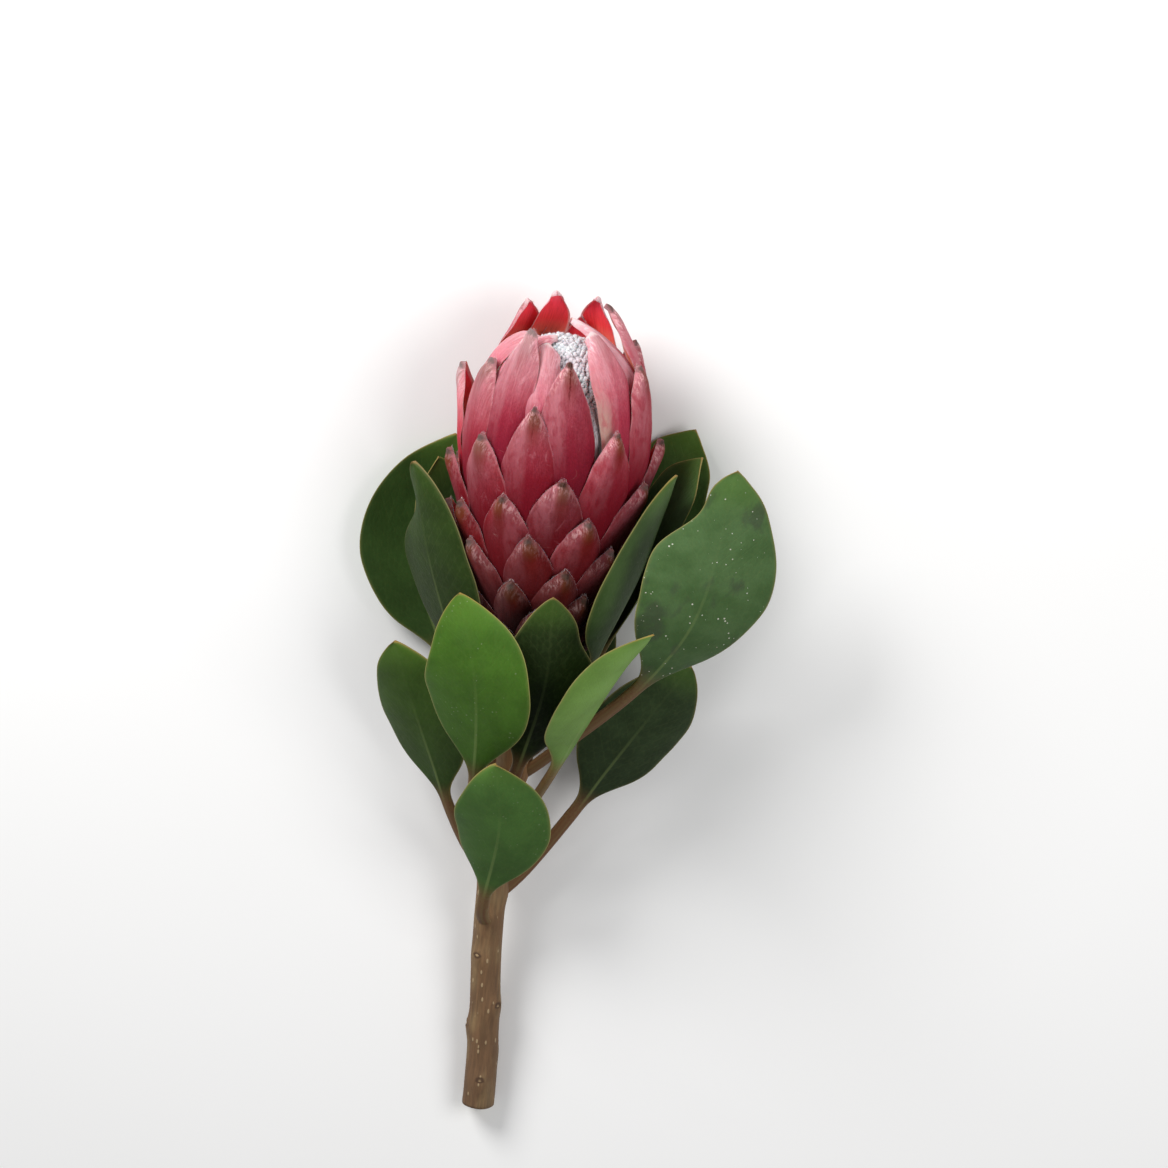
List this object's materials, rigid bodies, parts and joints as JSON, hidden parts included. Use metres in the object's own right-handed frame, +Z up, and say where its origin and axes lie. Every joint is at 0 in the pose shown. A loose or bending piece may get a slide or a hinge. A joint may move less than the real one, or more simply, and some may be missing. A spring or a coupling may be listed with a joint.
{
  "type": "protea flower",
  "caption": "Cut protea flower with a woody stem: a goblet of overlapping pointed bracts round a woolly dome of florets, with broad leathery leaves below it.",
  "frame": {"origin": "centre of the bounding box in X and Y, on the surface the flower lies on", "axes": "+Y along the flower, from the cut end towards its tip; +Z up, away from the surface it lies on; +X to the right, seen from above with the tip away from the viewer"},
  "size_m": [0.1652, 0.3501, 0.0957],
  "materials": {
    "wood": "thin brown bark with lenticels, matte",
    "bracts": "smooth wine-red to rose-pink bract with a fine silky bloom, satin",
    "wool": "dense grey-white wool, matte",
    "leaf": "thick leathery leaf with a pale margin, satin"
  },
  "bodies": {
    "root": {"stem": "wood", "involucre": "bracts", "florets": "wool", "leaf_01": "leaf", "leaf_02": "leaf", "leaf_03": "leaf", "leaf_04": "leaf", "leaf_05": "leaf", "leaf_06": "leaf", "leaf_07": "leaf", "leaf_08": "leaf", "leaf_09": "leaf", "leaf_10": "leaf", "leaf_11": "leaf", "leaf_12": "leaf", "leaf_13": "leaf", "leaf_14": "leaf"}
  },
  "joints": []
}
